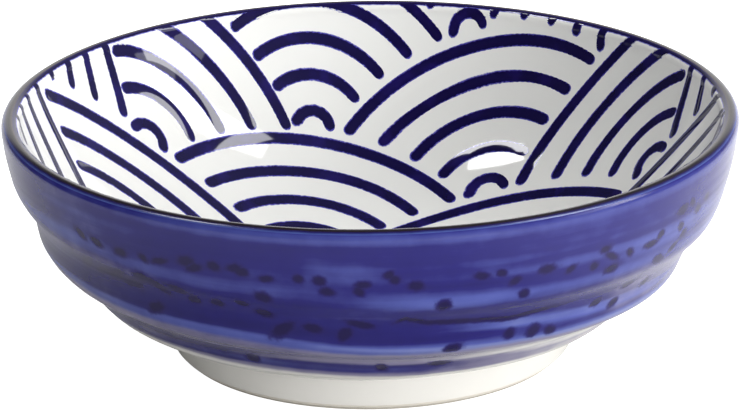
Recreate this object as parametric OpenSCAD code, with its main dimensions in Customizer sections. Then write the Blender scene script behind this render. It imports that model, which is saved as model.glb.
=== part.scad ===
// Small round sauce dish: a white porcelain bowl on a foot ring, with a blue
// coat over soft throwing rings outside and a wave pattern of fans inside.
// Millimetres, +Z up, origin at the middle of the foot on the table.

/* [Dish] */
// Diameter over the lip
rim_d = 95; // [84:0.5:110]
// Height from the table to the top of the lip
dish_h = 31.8; // [29:0.1:38]
// Width of the rounded lip
lip_w = 2.4; // [2:0.1:3.2]
// Height of the inside floor above the table
floor_z = 7; // [6.4:0.1:8.4]
// Radius of the flat part of the inside floor
floor_flat_r = 12; // [6:0.5:15]

/* [Foot] */
// Diameter of the foot ring where it stands
foot_d = 51.8; // [46:0.2:54]
// Height of the foot ring
foot_h = 5; // [4.2:0.1:5.6]
// How far the foot ring widens on its way up to the bowl
foot_flare = 0.7; // [0:0.1:1.2]
// Width of the foot ring where it stands
foot_w = 3.4; // [2.6:0.1:5]
// Depth of the hollow inside the foot ring
recess_h = 3; // [2.2:0.1:3.6]
// Height of the unglazed strip at the bottom of the foot
bare_h = 0.9; // [0.6:0.1:1.6]
// Size of the eased edges that the foot stands on
foot_ease = 0.5; // [0.2:0.1:0.8]

/* [Glaze] */
// Thickness of the white lining inside the bowl
lining_t = 0.4; // [0.3:0.05:0.6]
// Thickness of the blue coat outside
coat_t = 0.5; // [0.35:0.05:0.7]
// Thickness of the clear glaze on the foot and under it
clear_t = 0.3; // [0.2:0.05:0.4]
// Thickness of the dark line of glaze over the lip
rim_line_t = 0.35; // [0.2:0.05:0.5]

/* [Throwing rings] */
// Depth of the soft grooves round the outside
groove_depth = 0.9; // [0.4:0.1:1.5]
// Radius of the fingertip that pressed the grooves
finger_r = 6; // [4:0.5:7]
// Height of the lower groove at the left of the dish
low_left_z = 11.8; // [11:0.1:12.6]
// Height of the lower groove at the right of the dish
low_right_z = 8.9; // [8.6:0.1:10.4]
// Height of the upper groove at the left of the dish
high_left_z = 20.4; // [19:0.1:21.4]
// Height of the upper groove at the right of the dish
high_right_z = 15.4; // [14.6:0.1:17]

/* [Wave pattern] */
// Distance between two columns of fans, measured along the glaze
fan_step = 24.4; // [22:0.2:27]
// Distance between two fans of one column
fan_rise = 25.5; // [25:0.5:28]
// Radius of the smallest arc of a fan
first_arc_r = 2.5; // [2:0.1:2.8]
// Distance from one arc of a fan to the next
arc_step = 5.2; // [4.8:0.1:5.3]
// Width of a brush stroke
stroke_w = 1.75; // [1.2:0.05:2]
// Bare glaze left between the end of a stroke and the next fan
stroke_gap = 0.4; // [0.3:0.1:1]

/* [Hidden] */
$fn = 96;

// Overrun of a cut
over = 1;
// Steps of one drawn curve, and of the round of the lip
curve_steps = 14;
lip_steps = 8;

// Lip: a full round on top of the wall
rim_r = rim_d / 2;
lip_r = lip_w / 2;
lip_z = dish_h - lip_r;
lip_mid = [rim_r - lip_r, lip_z];
clay_lip_r = lip_r - rim_line_t;

// Foot, from its middle out
foot_r = foot_d / 2;
foot_top_r = foot_r + foot_flare;
foot_in_r = foot_r - foot_w;

// Outside section, from the foot out under the bowl and up to the lip, and
// inside section, from the flat floor up to the lip. A pair of shares says
// where a pulling point of the curve stands between its two ends.
outside_from = [foot_top_r, foot_h];
outside_to = [rim_r, lip_z];
outside_shares = [[0.51, 0.09], [0.925, 0.41]];
inside_from = [floor_flat_r, floor_z];
inside_to = [rim_r - lip_w, lip_z];
inside_shares = [[0.535, 0], [0.905, 0.63]];

// A curve with two pulling points
function between(a, b, shares) = [a.x + (b.x - a.x) * shares.x, a.y + (b.y - a.y) * shares.y];
function bezier(a, p, q, b, t) =
    pow(1 - t, 3) * a + 3 * pow(1 - t, 2) * t * p + 3 * (1 - t) * t * t * q + pow(t, 3) * b;
function section(a, b, shares) =
    [for (i = [0 : curve_steps])
        bezier(a, between(a, b, shares[0]), between(a, b, shares[1]), b, i / curve_steps)];
outside = section(outside_from, outside_to, outside_shares);
inside = section(inside_from, inside_to, inside_shares);

// Direction of a row of points, and the row moved by d to its left
function heading(pts, i) = pts[min(i + 1, len(pts) - 1)] - pts[max(i - 1, 0)];
function left_of(pts, i) = [-heading(pts, i).y, heading(pts, i).x] / norm(heading(pts, i));
function moved(pts, d) = [for (i = [0 : len(pts) - 1]) pts[i] + d * left_of(pts, i)];
function inner_points(pts) = [for (i = [1 : len(pts) - 2]) pts[i]];
function turned_round(pts) = [for (i = [len(pts) - 1 : -1 : 0]) pts[i]];

// Clay faces behind the lining and behind the blue coat
clay_inside = concat([[floor_flat_r, floor_z - lining_t]], inner_points(moved(inside, -lining_t)),
    [lip_mid - [clay_lip_r, 0]]);
clay_outside = concat([[foot_top_r - clear_t, foot_h]], inner_points(moved(outside, coat_t)),
    [lip_mid + [clay_lip_r, 0]]);
// Half round over the lip, from the inside to the outside
function lip_round(r) =
    [for (i = [0 : lip_steps]) lip_mid + r * [-cos(180 * i / lip_steps), sin(180 * i / lip_steps)]];

module turned(pts) {
    rotate_extrude() polygon(pts);
}

// Throwing rings. A groove passes through a point of the outside on the left
// and one on the right, so its ring is tilted and a little off the middle.
function surface_r(z) = lookup(z, [for (p = outside) [p.y, p.x]]);
function slope_at(z) = (surface_r(z + over) - surface_r(z - over)) / (2 * over);
module groove(left_z, right_z, cover) {
    left_r = surface_r(left_z);
    right_r = surface_r(right_z);
    middle_z = (left_z + right_z) / 2;
    slope = slope_at(middle_z);
    outward = [1, -slope] / norm([1, slope]);
    reach = (finger_r - groove_depth) * outward;
    translate([(right_r - left_r) / 2, 0, middle_z])
        rotate([0, atan2(left_z - right_z, left_r + right_r), 0])
        rotate_extrude()
        translate([(left_r + right_r) / 2 + reach.x, reach.y])
        circle(r = finger_r + cover);
}
module grooves(cover) {
    groove(low_left_z, low_right_z, cover);
    groove(high_left_z, high_right_z, cover);
}

// The clay from the axis out, without its hollow, up to the lip
module clay_core() {
    difference() {
        turned(concat([[0, foot_h - over], [foot_top_r - clear_t, foot_h - over]], clay_outside,
            [lip_mid + [clay_lip_r, over], [0, lip_z + over]]));
        grooves(coat_t);
    }
}

// Porcelain wall and floor
module bowl_body() {
    color("whitesmoke")
    difference() {
        turned(concat([[0, recess_h], [0, floor_z - lining_t]], clay_inside,
            inner_points(lip_round(clay_lip_r)), turned_round(clay_outside),
            [[foot_in_r, foot_h], [foot_in_r, recess_h]]));
        grooves(coat_t);
    }
}

// Ring that the bowl stands on, bare where it meets the table
module foot_ring() {
    clay_r = foot_r - clear_t;
    color("ghostwhite")
    turned([[foot_in_r, foot_h], [foot_in_r, foot_ease], [foot_in_r + foot_ease, 0],
        [clay_r - foot_ease, 0], [clay_r + foot_flare * foot_ease / foot_h, foot_ease],
        [clay_r + foot_flare, foot_h]]);
}

// Distance run along the inside, from the middle of the floor out, against
// the radius reached. Past the lip the radius goes on at the same pace.
function runs(pts, i = 0, run = 0) =
    i == len(pts) ? []
    : concat([[run + (i == 0 ? norm(pts[0] - [0, floor_z]) : norm(pts[i] - pts[i - 1])), pts[i].x]],
        runs(pts, i + 1, run + (i == 0 ? norm(pts[0] - [0, floor_z]) : norm(pts[i] - pts[i - 1]))));
inside_runs = concat([[0, 0]], runs(inside));
lip_run = inside_runs[len(inside_runs) - 1][0];
function radius_for(run) = lookup(run, inside_runs) + max(run - lip_run, 0);

// A point of the flat pattern laid on the bowl, seen from above
function laid(p) = norm(p) == 0 ? p : p * radius_for(norm(p)) / norm(p);

// Flat pattern: columns of fans, every second column half a rise higher.
// The shares place the whole pattern, and slip two columns a little by hand.
origin_shares = [-0.357, 0.49];
slip_shares = [[-2, 0], [-1, 0.037], [0, 0], [1, -0.025], [2, 0]];
function fan_middle(i, j) =
    [fan_step * (i + origin_shares.x),
     fan_rise * (j + origin_shares.y + (i % 2 == 0 ? 0 : 1 / 2) + lookup(i, slip_shares))];

// Arcs of a fan, and the angle from straight up at which each one ends,
// where the outermost arcs of the fans on both sides come too close
arc_count = 5;
cap_steps = 3;
function arc_r(k) = first_arc_r + arc_step * k;
neighbour = [fan_step, -fan_rise / 2];
neighbour_angle = 90 + atan2(fan_rise / 2, fan_step);
// Room that an arc's end keeps from the middle of the next fan
function end_room(k) = arc_r(arc_count - 1) + stroke_w + stroke_gap + stroke_w * k / arc_count;
function end_angle(k) =
    let (far = norm(neighbour), r = arc_r(k))
    min(88, neighbour_angle - acos((r * r + far * far - pow(end_room(k), 2)) / (2 * r * far)));

// Outline of a stroke with round ends, clockwise from its left end
function on_arc(middle, r, angle) = middle + r * [sin(angle), cos(angle)];
function stroke_steps(k) = 4 + k;
function stroke(middle, k) =
    let (r = arc_r(k), half = stroke_w / 2, turn = end_angle(k), n = stroke_steps(k))
    concat(
        [for (i = [0 : n]) on_arc(middle, r + half, turn * (2 * i / n - 1))],
        [for (i = [1 : cap_steps - 1])
            on_arc(on_arc(middle, r, turn), half, turn + 180 * i / cap_steps)],
        [for (i = [n : -1 : 0]) on_arc(middle, r - half, turn * (2 * i / n - 1))],
        [for (i = [1 : cap_steps - 1])
            on_arc(on_arc(middle, r, -turn), half, 180 - turn + 180 * i / cap_steps)]);
function starts_inside(pts) = min([for (p = pts) norm(p)]) < lip_run - stroke_w;

// Columns and rows needed to fill the bowl
columns = ceil((lip_run + arc_r(arc_count)) / fan_step);
rows = ceil((lip_run + arc_r(arc_count)) / fan_rise);

// All strokes as upright prisms
module stroke_prisms() {
    translate([0, 0, floor_z - lining_t - over])
        linear_extrude(height = dish_h)
        for (i = [-columns : columns])
            for (j = [-rows : rows])
                for (k = [0 : arc_count - 1])
                    let (flat = stroke(fan_middle(i, j), k))
                        if (starts_inside(flat)) polygon([for (p = flat) laid(p)]);
}

// White lining over floor and wall, with the strokes left out
module lining_skin() {
    turned(concat([[0, floor_z]], inside, turned_round(clay_inside), [[0, floor_z - lining_t]]));
}
module inner_glaze() {
    color("white")
    difference() {
        lining_skin();
        stroke_prisms();
    }
}

// Cobalt strokes, sunk into the lining and flush with it
module wave_strokes() {
    color("midnightblue")
    intersection() {
        lining_skin();
        stroke_prisms();
    }
}

// Dark line of glaze over the lip
module rim_line() {
    color("darkslateblue")
    turned(concat(lip_round(lip_r), turned_round(lip_round(clay_lip_r))));
}

// Blue coat from the foot up to the lip
module outer_glaze() {
    color("mediumblue")
    difference() {
        turned(concat([[0, foot_h]], outside, [[0, lip_z]]));
        grooves(0);
        clay_core();
    }
}

// Clear glaze round the foot, above the bare strip
module foot_glaze() {
    function foot_wall(z) = foot_r + foot_flare * z / foot_h;
    color("aliceblue")
    turned([[foot_wall(bare_h) - clear_t, bare_h], [foot_wall(bare_h), bare_h],
        [foot_top_r, foot_h], [foot_top_r - clear_t, foot_h]]);
}

// Clear glaze in the hollow of the foot
module base_glaze() {
    color("azure")
    turned([[0, recess_h - clear_t], [foot_in_r - clear_t, recess_h - clear_t],
        [foot_in_r - clear_t, bare_h], [foot_in_r, bare_h], [foot_in_r, recess_h], [0, recess_h]]);
}

bowl_body();
foot_ring();
inner_glaze();
wave_strokes();
rim_line();
outer_glaze();
foot_glaze();
base_glaze();
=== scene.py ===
"""Looks of a small round sauce dish: white porcelain, cobalt fan waves inside, a blue coat outside.

All sizes are in metres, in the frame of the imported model. The foot ring and the glaze under the foot
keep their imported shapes. The other pieces are worked out here as smooth surfaces in the same places.
"""

import math

import bpy
import numpy as np
from bpy.props import FloatProperty, FloatVectorProperty, IntProperty, PointerProperty
from mathutils import Matrix, Vector


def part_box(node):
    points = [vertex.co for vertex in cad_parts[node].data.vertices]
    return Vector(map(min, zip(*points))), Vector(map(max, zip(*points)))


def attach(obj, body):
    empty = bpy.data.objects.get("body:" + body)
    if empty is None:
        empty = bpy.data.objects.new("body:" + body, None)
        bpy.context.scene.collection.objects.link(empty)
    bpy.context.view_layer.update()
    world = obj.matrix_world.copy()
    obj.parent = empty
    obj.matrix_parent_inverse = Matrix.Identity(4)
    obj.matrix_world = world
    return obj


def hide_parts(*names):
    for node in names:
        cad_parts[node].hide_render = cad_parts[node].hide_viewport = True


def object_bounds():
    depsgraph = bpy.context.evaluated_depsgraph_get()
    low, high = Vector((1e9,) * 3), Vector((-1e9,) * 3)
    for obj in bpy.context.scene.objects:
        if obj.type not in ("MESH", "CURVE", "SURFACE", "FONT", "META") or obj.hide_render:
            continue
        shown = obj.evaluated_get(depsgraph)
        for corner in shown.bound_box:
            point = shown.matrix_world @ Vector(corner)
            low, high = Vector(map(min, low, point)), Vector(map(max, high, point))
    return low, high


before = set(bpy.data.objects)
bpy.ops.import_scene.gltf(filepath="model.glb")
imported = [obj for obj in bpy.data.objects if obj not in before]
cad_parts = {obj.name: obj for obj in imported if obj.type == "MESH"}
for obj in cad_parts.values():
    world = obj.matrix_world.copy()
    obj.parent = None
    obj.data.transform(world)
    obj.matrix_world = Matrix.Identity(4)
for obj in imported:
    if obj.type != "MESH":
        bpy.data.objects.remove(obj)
CAD_LOW, CAD_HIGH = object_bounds()

bl_info = {
    "name": "Wave Sauce Dish",
    "version": (1, 0, 0),
    "blender": (4, 5, 0),
    "location": "3D View > Sidebar > Dish",
    "description": "Glazes, brush strokes and studio for a small footed sauce dish",
    "category": "Object",
}

BODY = "root"
MM = 0.001

LIP_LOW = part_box("rim_line")[0]
FOOT_GLAZE_LOW, FOOT_GLAZE_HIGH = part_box("foot_glaze")
LINING_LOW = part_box("inner_glaze")[0]
HOLLOW_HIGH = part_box("base_glaze")[1]


def length(name, text, value):
    """A property for a length in metres."""
    return FloatProperty(name=name, description=text, default=value, min=0, max=1, precision=5,
                         subtype="DISTANCE", unit="LENGTH")


def tint(name, text, value):
    """A property for a colour."""
    return FloatVectorProperty(name=name, description=text, default=value, size=3, min=0, max=1,
                               subtype="COLOR")


def strength(name, text, value):
    """A property for the strength of a light."""
    return FloatProperty(name=name, description=text, default=value, min=0, max=100)


class DishForm(bpy.types.PropertyGroup):
    """Sizes of the dish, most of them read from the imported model"""

    rim_radius: length("Rim radius", "Radius over the lip", CAD_HIGH.x)
    height: length("Height", "Height of the top of the lip", CAD_HIGH.z)
    lip_height: length("Lip height", "Height where the round of the lip starts", LIP_LOW.z)
    foot_radius: length("Foot radius", "Radius of the top of the foot", FOOT_GLAZE_HIGH.x)
    foot_height: length("Foot height", "Height of the foot ring", FOOT_GLAZE_HIGH.z)
    foot_flare: length("Foot flare", "Widening of the foot towards its top", 0.7 * MM)
    bare_height: length("Bare strip", "Height where the foot's glaze ends", FOOT_GLAZE_LOW.z)
    floor_flat: length("Flat floor", "Radius of the flat part of the floor", 12 * MM)
    lining: length("Lining", "Thickness of the white lining", 0.4 * MM)
    coat: length("Coat", "Thickness of the blue coat", 0.5 * MM)
    clear: length("Clear glaze", "Thickness of the clear glaze on the foot", 0.3 * MM)
    foot_inside: length("Foot inside", "Inner radius of the foot ring", HOLLOW_HIGH.x)
    recess: length("Recess", "Height of the hollow under the dish", HOLLOW_HIGH.z)


class ThrowingRings(bpy.types.PropertyGroup):
    """The soft grooves and pits round the outside"""

    depth: length("Depth", "Depth of a groove", 0.9 * MM)
    finger: length("Finger", "Radius of the fingertip", 6 * MM)
    low_left: length("Lower left", "Height of the lower groove at the left", 11.8 * MM)
    low_right: length("Lower right", "Height of the lower groove at the right", 8.9 * MM)
    high_left: length("Upper left", "Height of the upper groove at the left", 20.4 * MM)
    high_right: length("Upper right", "Height of the upper groove at the right", 15.4 * MM)
    soften: length("Soften", "Rounding of the grooves' edges", 0.9 * MM)
    unevenness: length("Unevenness", "How far the wall wanders", 0.05 * MM)
    pit_depth: length("Pit depth", "Depth of a pit in the glaze", 0.012 * MM)


class WavePattern(bpy.types.PropertyGroup):
    """The fans of brush strokes inside, measured along the glaze"""

    step: length("Column step", "Distance between two columns of fans", 24.4 * MM)
    rise: length("Rise", "Distance between two fans of one column", 25.5 * MM)
    left: length("Left", "How far the first column stands left of the middle", 8.7 * MM)
    back: length("Back", "How far its first fan stands behind the middle", 12.5 * MM)
    first_arc: length("First arc", "Radius of the smallest arc", 2.5 * MM)
    arc_step: length("Arc step", "Distance from one arc to the next", 5.2 * MM)
    arcs: IntProperty(name="Arcs", description="Arcs of one fan", default=5, min=1, max=8)
    width: length("Stroke width", "Width of a brush stroke", 1.8 * MM)
    gap: length("Gap", "Bare glaze between a stroke's end and the next fan", 0.36 * MM)
    lift: length("Lift", "Height of a stroke over the lining", 0.05 * MM)


class DishColours(bpy.types.PropertyGroup):
    """Colours of the clay and the glazes"""

    white: tint("White", "Glaze of the lining", (0.80, 0.80, 0.775))
    body: tint("Body", "Clear glaze over the cream clay", (0.84, 0.825, 0.78))
    clay: tint("Clay", "Bare fired clay", (0.74, 0.70, 0.62))
    cobalt: tint("Cobalt", "Middle of a brush stroke", (0.0050, 0.0025, 0.045))
    fringe: tint("Fringe", "Edge of a brush stroke", (0.060, 0.052, 0.40))
    coat_thick: tint("Thick coat", "Blue coat where it lies thick", (0.008, 0.005, 0.085))
    coat: tint("Coat", "Blue coat", (0.014, 0.011, 0.138))
    # The thin coat colours are also painted light, where the coat is painted lighter on the right side and
    # under the lip.
    coat_thin: tint("Thin coat", "Blue coat where it runs thin", (0.070, 0.088, 0.32))
    coat_edge_and_lit: tint("Coat's edge", "Blue coat where it runs thinnest", (0.15, 0.18, 0.42))
    # The worn coat colour is also a painted grey reflection on the left and far right sides.
    coat_worn_and_sheen: tint("Worn coat", "Blue coat on a ridge", (0.21, 0.195, 0.31))
    halo: tint("Halo", "Glaze round a pit", (0.013, 0.008, 0.105))
    pit: tint("Pit", "Bottom of a pit", (0.007, 0.003, 0.052))
    lip: tint("Lip", "Dark line on the crest of the lip", (0.011, 0.007, 0.013))
    # The lip blue is partly thin glaze and partly a painted highlight.
    lip_blue_and_sheen: tint("Lip blue", "Thin blue glaze on the outside of the lip", (0.06, 0.09, 0.30))
    olive: tint("Olive", "Thin glaze on the inner edge of the crest", (0.075, 0.058, 0.050))


class StudioLight(bpy.types.PropertyGroup):
    """Radiances of the lights and the backdrop"""

    key: strength("Key", "Tall panel at the right", 7.0)
    lip: strength("Lip", "Small panel that shines on the lip", 2.0)
    fill: strength("Fill", "Wide panel in front", 1.5)
    low: strength("Low", "Low panel at the front right", 6.2)
    high: strength("High", "Panel high behind the dish", 2.2)
    side: strength("Side", "Small panel at the left", 12.0)
    even: strength("Even", "Room all round", 0.06)
    bright: strength("Bright side", "What the room gains towards the right", 0.25)
    back: strength("Back", "Pale wall behind the dish", 1.1)
    floor: tint("Floor", "Colour of the floor", (0.62, 0.62, 0.62))
    far: strength("Far floor", "Light that the floor gives away from the dish", 0.48)
    glow: strength("Glow", "Light that the floor gives at the right", 0.6)


def settings():
    """The five groups of settings of the scene."""
    return [getattr(bpy.context.scene, name) for name in GROUPS]


def section_curve(start, end, pulls):
    """Cubic curve (1-t)^3 a + 3 (1-t)^2 t p + 3 (1-t) t^2 q + t^3 b for t from 0 to 1, from a to b. The
    pulls p and q stand those shares of the way from a to b, in radius and in height."""
    a, b = np.array(start), np.array(end)
    p, q = a + (b - a) * pulls
    t = np.linspace(0, 1, 400)[:, None]
    return (1 - t) ** 3 * a + 3 * (1 - t) ** 2 * t * p + 3 * (1 - t) * t ** 2 * q + t ** 3 * b


def distances(row):
    """Distance run along a row of points, from its first point."""
    return np.concatenate([[0], np.cumsum(np.linalg.norm(np.diff(row, axis=0), axis=1))])


def spread_evenly(row, count):
    """The row with count points at even distances."""
    run = distances(row)
    at = np.linspace(0, run[-1], count)
    return np.column_stack([np.interp(at, run, axis) for axis in row.T])


def right_of(row):
    """Unit vectors to the right of a row of points, from the differences of their neighbours."""
    heading = np.gradient(row, axis=-2)
    heading /= np.linalg.norm(heading, axis=-1)[..., None]
    return np.stack([heading[..., 1], -heading[..., 0]], axis=-1)


def behind_the_face(row, depth):
    """The row of points moved by a depth against the vectors to its right."""
    return row - depth * right_of(row)


def soft_noise(random, shape, reach):
    """Random field smoothed by a bell curve that reaches so many steps each way, with a spread of one.
    The smoothing is a product in the frequency domain, so the field wraps round both ways."""
    bells = (np.exp(-2 * (np.pi * far * np.fft.fftfreq(count)) ** 2) for far, count in zip(reach, shape))
    field = np.fft.ifft2(np.fft.fft2(random.standard_normal(shape)) * np.outer(*bells)).real
    return field / field.std()


def smooth_step(value, low, high):
    """0 below low, 1 above high, and 3 t^2 - 2 t^3 between them."""
    t = np.clip((value - low) / (high - low), 0, 1)
    return t * t * (3 - 2 * t)


def hill(value, foot, top, brow, end):
    """0 up to the foot, 1 from the top to the brow, 0 from the end on, and smooth steps between."""
    return smooth_step(value, foot, top) * (1 - smooth_step(value, brow, end))


def at_every_angle(section, count):
    """The section as one row of points for each of so many angles, also where it has one row for all."""
    return np.broadcast_to(section, (count, *section.shape[-2:]))


def round_the_axis(section, turns):
    """Points (r cos a, r sin a, z) for every angle a and every point (r, z) of its section."""
    radius, height = np.moveaxis(at_every_angle(section, len(turns)), -1, 0)
    return np.stack([radius * np.cos(turns)[:, None], radius * np.sin(turns)[:, None], height], axis=-1)


def grid_faces(around, along, closed):
    """Quads of a grid that wraps round in its first direction, and in its second one if closed."""
    index = np.arange(around * along).reshape(around, along)
    beyond = np.roll(index, -1, axis=0)
    quads = np.stack([index, beyond, np.roll(beyond, -1, axis=1), np.roll(index, -1, axis=1)], axis=-1)
    return quads[:, :along if closed else along - 1].reshape(-1, 4)


def put_in_scene(name, data):
    """A new object of that name, linked to the scene."""
    thing = bpy.data.objects.new(name, data)
    bpy.context.scene.collection.objects.link(thing)
    return thing


def new_piece(name, points, faces, sharp_angle=math.radians(50)):
    """A smooth mesh object of those points and faces, riding on the dish."""
    mesh = bpy.data.meshes.new(name)
    mesh.from_pydata(points.reshape(-1, 3).tolist(), [], faces)
    mesh.validate()
    mesh.shade_smooth()
    mesh.set_sharp_from_angle(angle=sharp_angle)
    piece = put_in_scene(name, mesh)
    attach(piece, BODY)
    return piece


def turned_piece(name, section, turns, poles=()):
    """A closed body round the axis. Without poles its section is a closed loop, run counter-clockwise when
    the axis is at its left. With poles, two heights on the axis, it runs from one to the other with the
    outside at its right, and fans of triangles join them."""
    points = round_the_axis(section, turns)
    around, along = points.shape[:2]
    points = points.reshape(-1, 3)
    faces = grid_faces(around, along, not poles).tolist()
    if poles:
        start = np.arange(around) * along
        following = np.roll(start, -1)
        tip = np.full(around, len(points))
        faces += np.stack([tip, following, start], axis=-1).tolist()
        faces += np.stack([tip + 1, start + along - 1, following + along - 1], axis=-1).tolist()
        points = np.vstack([points, [[0, 0, pole] for pole in poles]])
    return new_piece(name, points, faces)


def paint(piece, name, values):
    """Keeps a number for every point of the piece, for its material to read."""
    attribute = piece.data.attributes.new(name, "FLOAT", "POINT")
    attribute.data.foreach_set("value", np.asarray(values, np.float32).ravel())


def full_turn(count):
    """Angles of a full turn, without the last one, which is the first."""
    return np.linspace(0, 2 * np.pi, count, endpoint=False)


# Where the pulls of the two sections' curves stand
OUTSIDE_PULLS = np.array([(0.51, 0.09), (0.925, 0.41)])
INSIDE_PULLS = np.array([(0.535, 0.0), (0.905, 0.63)])

# Angles on the round of the lip where the lining and the blue coat end, and the lip line's thickness
LINING_END = math.radians(126)
COAT_END = math.radians(42)
LIP_LINE = 0.35 * MM

# Between these turns the fingertip comes down, and then is lifted off
FINGER_DOWN = (-0.22, 0.02)
FINGER_UP = (1.5, 1.78)


def lip_round(form, start, end, steps, inset=0.0):
    """Points of the round of the lip, from one angle to another: 0 faces out, a right angle up."""
    lip = form.height - form.lip_height
    angle = np.linspace(start, end, steps)
    middle = form.rim_radius - lip
    return np.column_stack([middle + (lip - inset) * np.cos(angle),
                            form.lip_height + (lip - inset) * np.sin(angle)])


def outside_curve(form):
    """Outside section without grooves, from the top of the foot to the lip."""
    return section_curve([form.foot_radius, form.foot_height], [form.rim_radius, form.lip_height],
                         OUTSIDE_PULLS)


def inside_curve(form):
    """Inside section from the axis to the lip: a flat floor, then the curve of the wall."""
    floor = LINING_LOW.z + form.lining
    lip = form.height - form.lip_height
    flat = np.column_stack([np.linspace(0, form.floor_flat, 60, endpoint=False), np.full(60, floor)])
    return np.vstack([flat, section_curve([form.floor_flat, floor],
                                          [form.rim_radius - 2 * lip, form.lip_height], INSIDE_PULLS)])


class InnerFace:
    """The inside of the bowl against the distance run from the middle of the floor."""

    def __init__(self, form):
        wall = inside_curve(form)
        self.row = np.vstack([wall, lip_round(form, math.pi, LINING_END, 40)[1:]])
        self.run = distances(self.row)
        self.lip_run = distances(wall)[-1]
        self.normal = -right_of(self.row)

    def place(self, flat, lift):
        """Points of the flat pattern laid on the bowl: each keeps its direction from the middle, and its
        distance becomes the distance run. Lift moves them along the normal of the surface."""
        run = np.linalg.norm(flat, axis=-1)
        unit = flat / np.maximum(run, 1e-9)[..., None]
        radius, height, out, up = (np.interp(run, self.run, axis)
                                   for axis in (*self.row.T, *self.normal.T))
        return np.concatenate([(radius + lift * out)[..., None] * unit, (height + lift * up)[..., None]],
                              axis=-1)


def groove_depth(rings, wall, angle, run):
    """Depth of the spiral groove, pressed by a fingertip that goes down one and a half turns and is lifted
    at both ends. Turns count from the left, through the front. The groove's height is the cubic through
    the four heights at the left and the right. At a distance d from its middle a fingertip of radius f
    reaches depth - f + sqrt(f^2 - d^2), which ends in a rounded corner: soft ln(1 + e^(depth / soft))."""
    heights = [rings.high_left, rings.high_right, rings.low_left, rings.low_right]
    spiral = np.polyfit([0, 0.5, 1, 1.5], heights, 3)
    wall_run = distances(wall)
    soft = rings.soften / 2
    depth = np.zeros_like(run)
    for winding in (-1, 0, 1):
        turn = (angle / (2 * math.pi) - 0.5) % 1 + winding
        middle = np.interp(np.polyval(spiral, turn), wall[:, 1], wall_run)
        away = np.clip(np.abs(run - middle) / rings.finger, 0, 0.999)
        reach = rings.depth - rings.finger * (1 - np.sqrt(1 - away ** 2))
        press = hill(turn, *FINGER_DOWN, *FINGER_UP)
        depth += press * soft * np.log1p(np.exp(np.clip(reach / soft, -40, 40)))
    return depth


def swung(first, second, degrees):
    """Two unit vectors a and b turned in their plane: cos a + sin b, and cos b - sin a."""
    c, s = math.cos(math.radians(degrees)), math.sin(math.radians(degrees))
    return c * first + s * second, c * second - s * first


def camera_axes():
    """Where the camera stands, and its unit vectors to the right, up and forward. It stands at a distance
    and a height angle from a point on the axis, and is then turned, tipped and rolled a little."""
    s, c = math.sin(math.radians(CAMERA_HEIGHT_ANGLE)), math.cos(math.radians(CAMERA_HEIGHT_ANGLE))
    right, up, forward = np.array([(1, 0, 0), (0, s, c), (0, c, -s)])
    eye = np.array([0, 0, CAMERA_LOOKS_AT]) - CAMERA_DISTANCE * forward
    forward, right = swung(forward, right, CAMERA_TURN)
    forward, up = swung(forward, up, CAMERA_TIP)
    right, up = swung(right, up, CAMERA_ROLL)
    return eye, right, up, forward


def seen_at(pixels, wall):
    """Where the lines of sight through those pixels of the photograph first meet the outside: angle round
    the axis, and height. Each line is followed in 2400 steps, from 60 mm before the axis to 60 mm past it,
    until it is inside the section."""
    eye, right, up, forward = camera_axes()
    off = np.array(pixels, float) - np.array(IMAGE_SIZE) / 2
    sight = forward * IMAGE_FOCUS + off[:, :1] * right - off[:, 1:] * up
    sight /= np.linalg.norm(sight, axis=1)[:, None]
    steps = CAMERA_DISTANCE + np.linspace(-60, 60, 2400) * MM
    along = eye + sight[:, None, :] * steps[None, :, None]
    section = np.interp(along[..., 2], wall[:, 1], wall[:, 0])
    first = np.argmax(np.hypot(along[..., 0], along[..., 1]) < section, axis=1)
    met = along[np.arange(len(pixels)), first]
    return np.arctan2(met[:, 1], met[:, 0]), met[:, 2]


# The camera that gives the photograph's view. Lengths are in metres and angles in degrees.
IMAGE_SIZE = (740, 412)
IMAGE_FOCUS = 5000
CAMERA_DISTANCE = 650 * MM
CAMERA_HEIGHT_ANGLE = 19.88
CAMERA_LOOKS_AT = 15 * MM
CAMERA_TURN = -0.0136
CAMERA_TIP = 0.277
CAMERA_ROLL = -0.69

# How far the painter set each fan off its even place: to the right and to the back in millimetres, and
# its lean to the right in degrees, by column and row
FAN_SLIPS = {
    (-2, -1): (-2.4, 5.2, 9.0), (-2, 0): (-0.4, 4.0, 5.0), (-1, -1): (-1.0, 1.2, 8.7),
    (-1, 0): (0.35, 1.1, 5.5), (0, 0): (-0.1, -0.1, 2.0), (0, 1): (0.3, 0.0, 1.5),
    (1, -1): (-0.8, -0.7, 2.4), (1, 0): (0.4, -0.6, 0.2), (1, 1): (0.6, -0.4, 0.8),
    (2, -1): (1.4, -0.2, 0.0), (2, 0): (0.6, -0.4, -1.8)}
OTHER_FANS = (0, 0, 1)

# Pits in the blue coat, read off the photograph, in its pixels
PITS_UPPER_ROW = (
    (80, 233), (96, 242), (120, 252), (143, 258), (159, 261), (185, 261), (194, 268), (213, 266),
    (234, 268), (241, 272), (266, 279), (298, 279), (319, 281), (327, 292), (359, 292), (363, 285),
    (389, 275), (395, 280), (416, 286), (482, 276), (502, 273), (515, 281), (524, 293), (547, 269),
    (571, 269), (594, 266), (606, 249), (612, 256), (611, 268), (630, 252), (651, 244), (661, 234),
    (672, 247), (681, 226), (683, 233), (683, 210), (693, 202), (698, 208), (707, 196))
PITS_LOWER_ROW = (
    (69, 252), (80, 259), (92, 267), (103, 270), (112, 272), (121, 278), (131, 281), (140, 277),
    (155, 285), (175, 289), (190, 298), (214, 302), (240, 303), (263, 298), (261, 312), (280, 328),
    (311, 327), (344, 333), (360, 324), (444, 306), (151, 304))
PITS_BY_THE_FOOT = (
    (244, 356), (382, 367), (444, 363), (453, 348), (512, 333), (536, 330), (552, 329), (604, 301),
    (620, 301), (635, 283), (654, 279), (658, 259))

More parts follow.
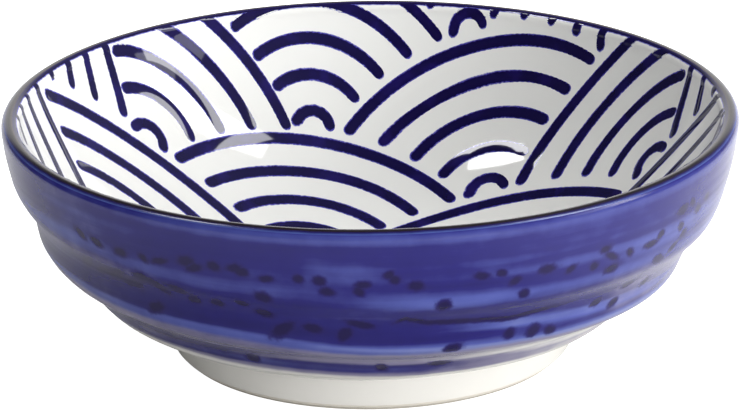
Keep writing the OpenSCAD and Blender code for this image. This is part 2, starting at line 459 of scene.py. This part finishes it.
# The dark line where glaze has pooled under the edge of the upper groove, read off in the same way
POOLED_LINE = (
    (380, 323), (393, 323), (406, 319), (430, 322), (454, 321), (484, 319), (515, 317), (539, 311),
    (555, 307), (571, 303), (583, 299), (595, 294), (608, 290))


# A pit's half width and half height in millimetres, as the least and what chance adds, and its lean
PIT_WIDE = (0.72, 0.80)
PIT_HIGH = (0.54, 0.34)
PIT_LEAN = 0.22
POOLED_HALF_WIDE = 0.60 * MM

# The back, which the photograph hides: pits in two rows, so many millimetres above the upper groove
PITS_BEHIND = 70
ROWS_BEHIND = (6.8, -0.3)


class CoatFace:
    """The outside of the blue coat: its section, its grooves and its pits on a grid of angles and runs.
    The angles u - 0.45 sin(u), from the front, lie closer together there.

    The slant is the height of the upper groove, a cosine wave round the dish. A point in a groove is seen
    from the front as if it stood higher on the plain wall: by 1.1 of its depth at the slant, and by 0.12
    less for every millimetre above it."""

    def __init__(self, form, rings, around=520, along=150):
        base = np.vstack([outside_curve(form), lip_round(form, 0, COAT_END, 30)[1:]])
        self.base = spread_evenly(base, along)
        even = full_turn(around)
        self.turns = even - 0.45 * np.sin(even) - math.pi / 2
        self.run = distances(self.base)
        run = np.tile(self.run, (around, 1))
        end = self.run[-1]
        wall = self.base[:np.argmax(self.base[:, 1] > form.lip_height)]
        fade = hill(run, 0, 3 * MM, end - 5 * MM, end - 1 * MM)
        groove = groove_depth(rings, wall, self.turns[:, None], run) * fade
        half_slant = (rings.high_left - rings.high_right) / 2
        self.slant = (rings.high_left - half_slant - half_slant * np.cos(self.turns))[:, None]
        level = self.base[None, :, 1]
        self.seen_height = level + groove * (1.1 - 0.12 * (level - self.slant) / MM)
        random = np.random.default_rng(11)
        wander, lines = (soft_noise(random, run.shape, reach) for reach in ((22, 9), (60, 1.1)))
        self.pit = self.mark_pits(wall, random)
        inward = (groove + fade * rings.unevenness * (0.6 * wander + 0.25 * lines)
                  + rings.pit_depth * self.pit)
        out = right_of(self.base)
        self.points = self.base - inward[..., None] * out
        self.plain_points = self.base - groove[..., None] * out
        self.thin, self.worn_and_sheen = self.lay_bands(form, random)

    def lay_bands(self, form, random):
        """How thin and how worn the coat is, with painted light and painted reflection mixed in, from 0 to
        1: a base, and a sum of bands that slant with the upper groove. A band has a lower and an upper edge,
           in
        millimetres above the slant, the softness of both edges, and a strength, which changes with the
        degrees from the front to the right. Where it changes with the side, the band is painted light: the
        coat is painted lighter towards the front and the right, where the lamps fall, darker on the left as
        painted shade, and greyer at the left and far right as a painted reflection. The coat is worn through
        by the foot, and painted lighter just under the lip, partly as thin glaze and partly as a painted
        highlight."""
        patches, streaks, wisps = (soft_noise(random, self.pit.shape, reach)
                                   for reach in ((11, 5), (50, 1.6), (26, 3)))
        above = (self.seen_height - self.slant) / MM + 0.25 * wisps
        from_front = np.degrees((self.turns + 1.5 * math.pi) % (2 * math.pi) - math.pi)[:, None]
        # Masks of the sides: they steer painted light, lighter where the lamps fall at the front and the
        # right, and painted shade and a painted grey reflection on the left and far right.
        near_front = hill(from_front, -20, 8, 75, 130)
        right = hill(from_front, 0, 30, 75, 130)
        right_side = hill(from_front, 15, 50, 120, 160)
        far_right = hill(from_front, 60, 85, 120, 160)
        left_side = hill(-from_front, 20, 50, 120, 160)
        lip_angle = np.arcsin(np.clip((self.base[:, 1] - form.lip_height)
                                      / (form.height - form.lip_height), -1, 1))
        # Just under the lip the coat is painted lighter: partly thin glaze, partly a painted highlight.
        lip_band_and_sheen = smooth_step(self.run, self.run[-1] - 1.9 * MM, self.run[-1] - 1.0 * MM)

        def sum_of_bands(*bands):
            return sum(hill(above, low - soft, low + soft, high - soft, high + soft) * strength
                       for low, high, soft, strength in bands)

        # The base is a little darker on the left side: painted shade.
        thin = 0.28 + 0.035 * streaks - 0.05 * left_side
        thin += lip_band_and_sheen * (0.14 - 0.08 * left_side) * (1 - 0.6 * smooth_step(lip_angle, 0.4, 0.73))
        # Terms that grow towards the front or the right are painted light where the lamps fall; the rest are
        # thin glaze in bands, patches and streaks.
        thin += sum_of_bands(
            (7.2, 9.8, 1.0, 0.05 + 0.12 * right),
            (3.8, 6.0, 0.8, 0.16 + 0.05 * wisps),
            (2.0, 9.8, 1.2, 0.09 * np.clip(patches, -0.5, 2)),
            (-0.6, 1.1, 0.5, right * (0.38 + 0.08 * patches)),
            (-2.4, 0.2, 0.7, 0.06 * near_front + 0.12 * right - 0.12),
            (-3.6, -1.9, 0.5, 0.30 * near_front),
            (-4.6, -2.7, 0.5, 0.42 + 0.10 * right),
            (-20, -7.2, 0.6, 0.10))
        # Grey on the left and far right sides is a painted reflection; the 1, less the step below, wears the
        # coat through by the foot.
        worn_and_sheen = 0.09 * left_side + 0.14 * far_right + 1
        worn_and_sheen = worn_and_sheen - smooth_step(above - 0.9 * np.sin(np.radians(from_front)), -10.4, -7.9)
        # Terms that follow the sides paint light and reflection: greyer at the left, paler on the right
        # where the lamps fall. The band from -6.0 to -4.1 holds the worn ridge all round.
        worn_and_sheen += sum_of_bands(
            (2.6, 4.2, 0.6, 0.12 * left_side),
            (2.5, 4.8, 0.8, right_side * (0.24 + 0.06 * wisps)),
            (-2.0, 2.5, 0.8, 0.22 * smooth_step(right_side, 0.8, 1)),
            (-5.7, -3.2, 0.5, 0.40 * right),
            (-6.0, -4.1, 0.6, 0.36 + 0.08 * near_front + 0.04 * right + 0.05 * wisps),
            (-20, -6.0, 0.6, 0.06 + 0.28 * right + 0.34 * right_side + 0.04 * wisps))
        return np.clip(thin, 0, 1), np.clip(worn_and_sheen, 0, 1)

    def mark_pits(self, wall, random):
        """How deep each point lies in a pit or in the pooled line, from 0 to 1: a bell e^(-d^2) over an
        ellipse round a pit's middle, or across the line's run. Both stand where the height that is seen
        from the front is the one that was read off."""
        rows = [(*seen_at(pixels, wall), np.full(len(pixels), size)) for pixels, size in
                ((PITS_UPPER_ROW, 1.0), (PITS_LOWER_ROW, 1.4), (PITS_BY_THE_FOOT, 1.2))]
        behind = math.radians(4) + math.radians(172) * random.random(PITS_BEHIND)
        above = np.where(random.random(PITS_BEHIND) < 0.5, *ROWS_BEHIND)
        above += random.choice([0.9, -0.9], PITS_BEHIND) + 0.5 * random.standard_normal(PITS_BEHIND)
        slant = np.interp(behind, self.turns, self.slant[:, 0])
        rows.append((behind, slant + above * MM, np.ones(PITS_BEHIND)))
        pit = np.zeros(self.seen_height.shape)
        rising = np.maximum.accumulate(self.seen_height, axis=1)
        for angle, height, size in zip(*(np.concatenate(parts) for parts in zip(*rows))):
            half_wide = size * (PIT_WIDE[0] + PIT_WIDE[1] * random.random() ** 2) * MM
            half_high = size * (PIT_HIGH[0] + PIT_HIGH[1] * random.random()) * MM
            lean = PIT_LEAN * random.standard_normal()
            around = (self.turns[:, None] - angle + math.pi) % (2 * math.pi) - math.pi
            across = around * np.interp(height, wall[:, 1], wall[:, 0])
            section = rising[np.argmin(np.abs(around))]
            up = self.run[None, :] - np.interp(height, section, self.run) - lean * across
            pit = np.maximum(pit, np.exp(-(across / half_wide) ** 2 - (up / half_high) ** 2))
        angle, height = seen_at(POOLED_LINE, wall)
        middle = [np.interp(level, section, self.run) for level, section in
                  zip(np.interp(self.turns, angle, height), rising)]
        ends = hill(self.turns, angle[0], angle[0] + 0.08, angle[-1] - 0.25, angle[-1])
        line = np.exp(-((self.run - np.array(middle)[:, None]) / POOLED_HALF_WIDE) ** 2)
        return np.maximum(pit, 0.9 * ends[:, None] * line)


def glazed(name, roughness, colour_of, shine=0.5):
    """A glossy material, whose base colour is a function of its node tree and the settings' colours."""
    material = bpy.data.materials.new(name)
    material.use_nodes = True
    tree = material.node_tree
    for socket, value in (("Roughness", roughness), ("IOR", 1.5), ("Specular IOR Level", shine),
                          ("Base Color", colour_of(tree, settings()[3]))):
        feed(tree, tree.nodes["Principled BSDF"].inputs[socket], value)
    return material


def feed(tree, socket, value):
    """Links a value to a socket, or sets a number, a vector or a colour on it."""
    if isinstance(value, bpy.types.NodeSocket):
        tree.links.new(value, socket)
    else:
        socket.default_value = (*value, 1) if socket.type == "RGBA" else value


def add_node(tree, kind, **values):
    """A node of that kind, with the properties and the inputs that are named."""
    node = tree.nodes.new(kind)
    for name, value in values.items():
        if hasattr(node, name):
            setattr(node, name, value)
        else:
            feed(tree, node.inputs[name.replace("_", " ")], value)
    return node


def noise_of(tree, scale, detail=3, rough=0.5, squeezed=(1, 1, 1)):
    """Noise between 0 and 1 over Object coordinates, squeezed along the axes."""
    place = add_node(tree, "ShaderNodeTexCoord").outputs["Object"]
    place = add_node(tree, "ShaderNodeMapping", Vector=place, Scale=squeezed).outputs["Vector"]
    return add_node(tree, "ShaderNodeTexNoise", Vector=place, Scale=scale, Detail=detail,
                    Roughness=rough).outputs["Fac"]


def worked_out(tree, operation, *values):
    """The result of a Math node for those values and numbers."""
    node = add_node(tree, "ShaderNodeMath", operation=operation)
    for socket, value in zip(node.inputs, values):
        feed(tree, socket, value)
    return node.outputs[0]


def kept_number(tree, name, *swings):
    """A number kept on the points of the piece, plus noises that swing by their reach to both sides."""
    value = add_node(tree, "ShaderNodeAttribute", attribute_name=name).outputs["Fac"]
    for noise, reach in swings:
        swing = worked_out(tree, "MULTIPLY_ADD", noise, 2 * reach, -reach)
        value = worked_out(tree, "ADD", value, swing)
    return value


def stretch(tree, value, low, high, to_low=0.0, to_high=1.0):
    """The value spread so that low and high become to_low and to_high, and held there outside."""
    return add_node(tree, "ShaderNodeMapRange", interpolation_type="SMOOTHSTEP", Value=value,
                    From_Min=low, From_Max=high, To_Min=to_low, To_Max=to_high).outputs["Result"]


def colour_row(tree, value, *stops):
    """A colour that runs through the stops, each a position and a colour."""
    ramp = add_node(tree, "ShaderNodeValToRGB", Fac=value)
    elements = ramp.color_ramp.elements
    while len(elements) < len(stops):
        elements.new(0.5)
    for element, (position, colour) in zip(elements, stops):
        element.position = position
        element.color = (*colour, 1)
    return ramp.outputs["Color"]


def blend_colours(tree, first, second, amount):
    """The first colour where the amount is 0, the second where it is 1."""
    mix = add_node(tree, "ShaderNodeMix", data_type="RGBA")
    for socket, value in ((0, amount), (6, first), (7, second)):
        feed(tree, mix.inputs[socket], value)
    return mix.outputs[2]


def white_glaze(tree, colours):
    """White lining; its edge takes the cobalt of the lip line, which bleeds into it."""
    edge = kept_number(tree, "to_lip", (noise_of(tree, 1500), 0.12))
    return colour_row(tree, edge, (0.0, colours.cobalt), (0.08, colours.fringe), (0.26, colours.white))


def cobalt_paint(tree, colours):
    """Brushed cobalt under the glaze: dark in the middle of a stroke, violet blue at its soft edge, and
    the white of the lining outside it."""
    across = kept_number(tree, "across", (noise_of(tree, 700, 2), 0.10), (noise_of(tree, 2600, 2), 0.16))
    middle = blend_colours(tree, colours.cobalt, 2 * colours.cobalt,
                           stretch(tree, noise_of(tree, 260), 0.45, 0.75))
    edge = colour_row(tree, across, (0.74, colours.fringe), (0.88, colours.white))
    return blend_colours(tree, middle, edge, stretch(tree, across, 0.58, 0.72))


def blue_glaze(tree, colours):
    """The blue coat: darker where it lies thick, light blue where it runs thin and where light is painted
    on, greyed and then white where it is worn and where painted reflection and light fall on its sides, and
    dark in the pits."""
    streaks = noise_of(tree, 1, 4, 0.6, (60, 60, 1500))
    clouds = noise_of(tree, 260, 4)
    thin, worn_and_sheen = (kept_number(tree, name, (clouds, 0.12), (streaks, 0.06)) for name in ("thin", "worn_and_sheen"))
    pit = kept_number(tree, "pit", (noise_of(tree, 1300, 2), 0.22))
    colour = colour_row(tree, thin, (0.0, colours.coat_thick), (0.32, colours.coat),
                        (0.66, colours.coat_thin), (0.95, colours.coat_edge_and_lit))
    for layer, amount, low, high in ((colours.coat_worn_and_sheen, worn_and_sheen, 0.08, 0.50),
                                     (colours.body, worn_and_sheen, 0.50, 1.0),
                                     (colours.halo, pit, 0.08, 0.48), (colours.pit, pit, 0.32, 0.78)):
        colour = blend_colours(tree, colour, layer, stretch(tree, amount, low, high))
    return colour


def lip_glaze(tree, colours):
    """Glaze over the lip: blue outside, partly thin glaze and partly a painted highlight, nearly black on
    the crest, brown and then blue inside.
    """
    turn = kept_number(tree, "round", (noise_of(tree, 500), 0.05))
    return colour_row(tree, turn, (0.0, colours.lip_blue_and_sheen), (0.18, colours.coat_thick),
                      (0.32, colours.lip), (0.54, colours.lip), (0.66, colours.olive),
                      (0.78, colours.coat_thick), (0.90, colours.cobalt))


def clear_glaze(tree, colours):
    """Clear glaze over the white body of the foot."""
    return colours.body


def bare_clay(tree, colours):
    """Fired clay without glaze, with a fine grain."""
    return blend_colours(tree, 0.93 * colours.clay, colours.clay, noise_of(tree, 2500))


def wear(piece, material):
    """Gives the piece one material."""
    piece.data.materials.clear()
    piece.data.materials.append(material)


class DISH_OT_clay(bpy.types.Operator):
    """Porcelain wall and floor between the glazes, which follows the grooves of the outside"""

    bl_idname = "dish.clay"
    bl_label = "Clay Wall"

    def execute(self, context):
        form, rings, *_ = settings()
        face = CoatFace(form, rings, 200, 60)
        below_lip = face.base[:, 1] < form.lip_height - form.coat
        outer = behind_the_face(face.plain_points, form.coat)[:, below_lip]
        clay_lip = lip_round(form, COAT_END, LINING_END, 10, LIP_LINE)
        inner = behind_the_face(spread_evenly(inside_curve(form), 50)[1:], -form.lining)
        ledge = np.array([[form.foot_inside, form.recess], [form.foot_inside, form.foot_height]])
        section = np.hstack([at_every_angle(part, len(face.turns))
                             for part in (ledge, outer, clay_lip, inner[::-1])])
        piece = turned_piece("clay_wall", section, face.turns, (form.recess, inner[0, 1]))
        wear(piece, glazed("fired_clay_wall", 0.65, bare_clay))
        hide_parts("bowl_body")
        return {"FINISHED"}


class DISH_OT_lining(bpy.types.Operator):
    """White lining of the bowl, a smooth skin over floor and wall"""

    bl_idname = "dish.lining"
    bl_label = "White Lining"

    def execute(self, context):
        form = settings()[0]
        rows = np.vstack([spread_evenly(inside_curve(form), 110),
                          lip_round(form, math.pi, LINING_END, 12)[1:]])
        back = behind_the_face(rows, -form.lining)[::-4]
        section = np.vstack([back[::-1], rows[:0:-1]])
        turns = full_turn(320)
        poles = (LINING_LOW.z, LINING_LOW.z + form.lining)
        piece = turned_piece("white_lining", section, turns, poles)
        to_lip = np.hypot(*(section - rows[-1]).T) / MM
        paint(piece, "to_lip", np.concatenate([np.tile(to_lip, len(turns)), to_lip[[0, 0]]]))
        wear(piece, glazed("white_lining_glaze", 0.05, white_glaze))
        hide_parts("inner_glaze")
        return {"FINISHED"}


def stroke_ends(pattern):
    """Radius of each arc of a fan, and its angle from straight back at which it ends: where the distance to
    the middle of the fan beside it comes down to that fan's outermost arc, a stroke's width and the gap.
    The angle follows from the triangle of the two middles and the end of the arc."""
    far = math.hypot(pattern.step, pattern.rise / 2)
    aim = math.pi / 2 + math.atan2(pattern.rise / 2, pattern.step)
    arc = np.arange(pattern.arcs)
    radius = pattern.first_arc + pattern.arc_step * arc
    room = radius[-1] + pattern.width * (1 + 0.15 * arc) + pattern.gap
    share_of_turn = (radius ** 2 + far ** 2 - room ** 2) / (2 * radius * far)
    return radius, np.minimum(math.radians(78), aim - np.arccos(np.clip(share_of_turn, -1, 1)))


def towards(angle):
    """Unit vectors at those angles from straight back, to the right: (sin a, cos a)."""
    return np.stack([np.sin(angle), np.cos(angle)], axis=-1)


def runs_of(flags):
    """First and last index of every run of true flags."""
    edges = np.flatnonzero(np.diff(np.concatenate([[0], flags.astype(int), [0]])))
    return list(zip(edges[::2], edges[1::2] - 1))


class Brush:
    """Lays one stroke after another on the inside of the bowl. Each way from its middle, a stroke's soft
    edge reaches 0.66 of its width."""

    def __init__(self, pattern, face):
        self.lift = pattern.lift
        self.face = face
        self.reach = 0.66 * pattern.width
        self.random = np.random.default_rng(7)
        self.points, self.faces, self.across = [], [], []
        self.count = 0

    def arc(self, middle, radius, end, lean):
        """The strokes of one arc: one for every stretch of it that lies inside the lip."""
        angles = lean + np.linspace(-end, end, 241)
        inside = np.linalg.norm(middle + radius * towards(angles), axis=1) < self.face.run[-1] + self.reach
        shake = self.random.standard_normal(6)
        for first, last in runs_of(inside):
            if last - first >= 6:
                self.stroke(middle, radius, angles[first], angles[last], first == 0, last == 240, shake)

    def stroke(self, middle, radius, start, stop, round_start, round_stop, shake):
        """One stroke from a start angle to a stop angle. Its outline goes round an end as a half circle:
        at a distance d past the end its half width is sqrt(w^2 - d^2). It swells and drifts in sine waves
        along its run, and gets a little thinner towards the right, where the brush runs dry. Its rows stand
        0.9 mm apart, and up to six times closer at the bend under the lip. Across it, the paint stands up by
        1 - u^2 and its edges lie 0.02 mm deep, and it closes 0.15 mm deep, inside the lining."""
        swell, swell_start, fullness, sway, sway_start, aside = shake
        w = self.reach
        cap = w * np.sin(np.linspace(0.08, math.pi / 2, 7))[::-1] * 0.999
        fine = np.linspace(start, stop, 400)
        from_axis = np.linalg.norm(middle + radius * towards(fine), axis=1)
        crowd = 1 + 5 * smooth_step(from_axis, self.face.lip_run - 1.5 * MM, self.face.lip_run)
        crowded = np.concatenate([[0], np.cumsum((crowd[1:] + crowd[:-1]) / 2)])
        count = max(6, int(radius * (stop - start) * crowd.mean() / (0.9 * MM)))
        body = np.interp(np.linspace(0, crowded[-1], count), crowded, fine)
        before = cap if round_start else cap[:0]
        after = cap[::-1] if round_stop else cap[:0]
        angle = np.concatenate([start - before / radius, body, stop + after / radius])
        past = np.concatenate([before, 0 * body, after])
        run = radius * (angle - start)
        wave = swell * np.sin(run / (2.9 * MM) + 3 * swell_start)
        dry = 0.12 * smooth_step(angle, 0.2, 1.2)
        half = np.sqrt(w ** 2 - past ** 2) * (1.02 + 0.035 * wave + 0.02 * fullness - dry)
        drift = 0.05 * MM * (sway * np.sin(run / (4.3 * MM) + 3 * sway_start) + 0.6 * aside)
        top, underside = np.linspace(-1, 1, 9), [0.6, -0.6]
        u = np.concatenate([top, underside])
        out = radius + drift[:, None] + half[:, None] * u
        flat = middle + out[..., None] * towards(angle)[:, None, :]
        lift = np.where(np.arange(len(u)) < len(top),
                        self.lift * (1 - u ** 2) * (half / w)[:, None] - 0.02 * MM, -0.15 * MM)
        points = self.face.place(flat, lift)
        rows, ring = lift.shape
        index = self.count + np.arange(rows * ring).reshape(rows, ring)
        following = np.roll(index, -1, axis=1)
        quads = np.stack([index[:-1], index[1:], following[1:], following[:-1]], axis=-1)
        self.faces += quads.reshape(-1, 4).tolist()
        self.faces += [index[0].tolist(), index[-1, ::-1].tolist()]
        self.points.append(points.reshape(-1, 3))
        self.across.append((np.hypot(past[:, None], half[:, None] * u) / w).ravel())
        self.count += rows * ring


class DISH_OT_strokes(bpy.types.Operator):
    """Cobalt brush strokes: fans of arcs that overlap like scales, painted by hand"""

    bl_idname = "dish.strokes"
    bl_label = "Brush Strokes"

    def execute(self, context):
        form, _, pattern, *_ = settings()
        brush = Brush(pattern, InnerFace(form))
        radii, ends = stroke_ends(pattern)
        for column in range(-3, 4):
            for row in range(-4, 4):
                right, back, lean = FAN_SLIPS.get((column, row), OTHER_FANS)
                middle = np.array([pattern.step * column - pattern.left + right * MM,
                                   pattern.rise * (row + column % 2 / 2) + pattern.back + back * MM])
                for radius, end in zip(radii, ends):
                    brush.arc(middle, radius, end, math.radians(lean))
        piece = new_piece("fan_strokes", np.vstack(brush.points), brush.faces, math.radians(60))
        paint(piece, "across", np.concatenate(brush.across))
        wear(piece, glazed("cobalt_paint", 0.05, cobalt_paint))
        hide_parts("wave_strokes")
        return {"FINISHED"}


class DISH_OT_lip_line(bpy.types.Operator):
    """Dark band of glaze over the crest of the lip"""

    bl_idname = "dish.lip_line"
    bl_label = "Lip Line"

    def execute(self, context):
        form = settings()[0]
        crest = lip_round(form, COAT_END, LINING_END, 22)
        under = lip_round(form, LINING_END, COAT_END, 8, LIP_LINE)
        turns = full_turn(400)
        piece = turned_piece("lip_line", np.vstack([crest, under]), turns)
        side = np.concatenate([np.linspace(0, 1, len(crest)), np.linspace(1, 0, len(under))])
        paint(piece, "round", np.tile(side, len(turns)))
        wear(piece, glazed("lip_line_glaze", 0.20, lip_glaze))
        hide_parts("rim_line")
        return {"FINISHED"}


class DISH_OT_coat(bpy.types.Operator):
    """Blue coat outside, over the throwing rings, with its streaks, ridges and pits, and painted light and
    reflection on its sides
    """

    bl_idname = "dish.coat"
    bl_label = "Blue Coat"

    def execute(self, context):
        form, rings, *_ = settings()
        face = CoatFace(form, rings)
        back = behind_the_face(face.plain_points, form.coat)[:, ::-6]
        piece = turned_piece("blue_coat", np.hstack([face.points, back]), face.turns)
        plain = np.zeros(back.shape[:2])
        for name in ("thin", "worn_and_sheen", "pit"):
            paint(piece, name, np.hstack([getattr(face, name), plain]))
        wear(piece, glazed("blue_coat_glaze", 0.20, blue_glaze, 0.35))
        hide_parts("outer_glaze")
        return {"FINISHED"}


class DISH_OT_foot(bpy.types.Operator):
    """Clear glaze round the foot, and the finishes of the ring and of the hollow under it"""

    bl_idname = "dish.foot"
    bl_label = "Foot"

    def execute(self, context):
        form = settings()[0]
        heights = np.linspace(form.bare_height, form.foot_height, 14)
        radii = form.foot_radius - form.foot_flare * (1 - heights / form.foot_height)
        face = np.column_stack([radii, heights])
        section = np.vstack([face, (face - [form.clear, 0])[::-1]])
        piece = turned_piece("foot_coat", section, full_turn(320))
        wear(piece, glazed("clear_foot_glaze", 0.10, clear_glaze))
        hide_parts("foot_glaze")
        wear(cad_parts["base_glaze"], piece.data.materials[0])
        wear(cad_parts["foot_ring"], glazed("bare_foot_clay", 0.65, bare_clay))
        return {"FINISHED"}


PANEL_DISTANCE = 1.5
FLOOR_HALF = 3.0


def panel_light(name, azimuth, height_angle, wide, high, radiance):
    """A soft panel that faces the dish from a direction: azimuth 0 is the front and 90 the right. Wide and
    high are the angles that it fills, seen from the dish, all in degrees. Its watts are four times its
    area times its radiance."""
    a, e = math.radians(azimuth), math.radians(height_angle)
    place = PANEL_DISTANCE * Vector((math.sin(a) * math.cos(e), -math.cos(a) * math.cos(e), math.sin(e)))
    light = bpy.data.lights.new(name, "AREA")
    light.shape = "RECTANGLE"
    light.size, light.size_y = (2 * PANEL_DISTANCE * math.tan(math.radians(angle) / 2)
                                for angle in (wide, high))
    light.energy = radiance * 4 * light.size * light.size_y
    lamp = put_in_scene(name, light)
    lamp.location = place
    lamp.rotation_euler = place.to_track_quat("Z", "Y").to_euler()
    lamp.visible_camera = False
    return lamp


class DISH_OT_stage(bpy.types.Operator):
    """Pale floor, soft panels, a room that is brighter on one side, and the camera"""

    bl_idname = "dish.stage"
    bl_label = "Studio"

    def execute(self, context):
        light = settings()[4]
        self.room(context.scene, light)
        self.floors(light)
        panel_light("tall_panel_right", 88, 44, 11, 44, light.key)
        panel_light("lip_panel_right", 76, 26, 22, 16, light.lip)
        panel_light("small_panel_left", -106, 61.5, 7, 13, light.side)
        for fill in (panel_light("wide_panel_front", 0, 20, 50, 30, light.fill),
                     panel_light("low_panel_front_right", 45, 10, 50, 16, light.low),
                     panel_light("high_panel_behind", 180, 60, 50, 40, light.high)):
            fill.visible_glossy = False
        self.camera(context.scene)
        context.scene.view_settings.view_transform = "Standard"
        return {"FINISHED"}

    def room(self, scene, light):
        """Room light by direction: dim at the left, brighter towards the right, with a pale wall that stands
        low behind the dish."""
        world = bpy.data.worlds.new("pale_room")
        world.use_nodes = True
        scene.world = world
        tree = world.node_tree
        place = add_node(tree, "ShaderNodeTexCoord").outputs["Generated"]
        parts = add_node(tree, "ShaderNodeSeparateXYZ", Vector=place)
        right = stretch(tree, parts.outputs["X"], -0.25, 0.75, light.even,
                        light.even + light.bright)
        behind = stretch(tree, parts.outputs["Y"], 0.82, 0.93, 0.0, light.back)
        low = stretch(tree, parts.outputs["Z"], 0.36, 0.50, 1.0, 0.0)
        total = worked_out(tree, "ADD", right, worked_out(tree, "MULTIPLY", behind, low))
        background = tree.nodes["Background"]
        background.inputs["Color"].default_value = (1, 1, 1, 1)
        tree.links.new(total, background.inputs["Strength"])

    def plain_floor(self, name, low, colour):
        """A wide square of matt paper that far under the foot, its node tree and its glow's strength."""
        mesh = bpy.data.meshes.new(name)
        mesh.from_pydata([(FLOOR_HALF * x, FLOOR_HALF * y, -low) for x, y in
                          ((-1, -1), (1, -1), (1, 1), (-1, 1))], [], [(0, 1, 2, 3)])
        floor = put_in_scene(name, mesh)
        wear(floor, glazed(name + "_paper", 0.9, lambda *_: colour, 0))
        tree = floor.data.materials[0].node_tree
        shader = tree.nodes["Principled BSDF"]
        shader.inputs["Emission Color"].default_value = (1, 1, 1, 1)
        return floor, tree, shader.inputs["Emission Strength"]

    def floors(self, light):
        """Two sheets of floor: the white one that is seen, and a greyer one under it that throws light back
        on the dish, more of it from the right and from further away."""
        seen, _, glow = self.plain_floor("pale_floor", 0.05 * MM, (0.8, 0.8, 0.8))
        glow.default_value = 1
        for rays in ("diffuse", "glossy", "transmission", "shadow"):
            setattr(seen, "visible_" + rays, False)
        lower, tree, glow = self.plain_floor("light_floor", 0.1 * MM, light.floor)
        lower.visible_camera = False
        place = add_node(tree, "ShaderNodeTexCoord").outputs["Object"]
        parts = add_node(tree, "ShaderNodeSeparateXYZ", Vector=place)
        away = add_node(tree, "ShaderNodeVectorMath", operation="LENGTH", Vector=place)
        right = stretch(tree, parts.outputs["X"], 0.02, 0.065, 0.0, light.glow)
        far = stretch(tree, away.outputs["Value"], 0.06, 0.13, 0.0, light.far)
        tree.links.new(worked_out(tree, "ADD", right, far), glow)

    def camera(self, scene):
        """The camera of the photograph's view."""
        eye, right, up, forward = camera_axes()
        lens = bpy.data.cameras.new("photo_view")
        lens.sensor_width = 36
        lens.lens = IMAGE_FOCUS / IMAGE_SIZE[0] * lens.sensor_width
        camera = put_in_scene("photo_view", lens)
        turn = Matrix((right, up, -forward)).transposed()
        camera.matrix_world = Matrix.Translation(Vector(eye)) @ turn.to_4x4()
        scene.camera = camera


class DISH_PT_panel(bpy.types.Panel):
    """The dish's pieces and their settings"""

    bl_label = "Wave Sauce Dish"
    bl_space_type = "VIEW_3D"
    bl_region_type = "UI"
    bl_category = "Dish"

    def draw(self, context):
        for operator in OPERATORS:
            self.layout.operator(operator.bl_idname)
        for group in settings():
            box = self.layout.box()
            for name in group.__annotations__:
                box.prop(group, name)


OPERATORS = (DISH_OT_clay, DISH_OT_lining, DISH_OT_strokes, DISH_OT_lip_line, DISH_OT_coat,
             DISH_OT_foot, DISH_OT_stage)
GROUPS = {"dish_form": DishForm, "dish_rings": ThrowingRings, "dish_pattern": WavePattern,
          "dish_colours": DishColours, "dish_light": StudioLight}


CLASSES = (*GROUPS.values(), *OPERATORS, DISH_PT_panel)


def register():
    for item in CLASSES:
        bpy.utils.register_class(item)
    for name, group in GROUPS.items():
        setattr(bpy.types.Scene, name, PointerProperty(type=group))


def unregister():
    for name in GROUPS:
        delattr(bpy.types.Scene, name)
    for item in reversed(CLASSES):
        bpy.utils.unregister_class(item)


def main():
    """Makes every piece and the stage."""
    register()
    bpy.ops.dish.clay()
    bpy.ops.dish.lining()
    bpy.ops.dish.strokes()
    bpy.ops.dish.lip_line()
    bpy.ops.dish.coat()
    bpy.ops.dish.foot()
    bpy.ops.dish.stage()


if __name__ == "__main__":
    main()
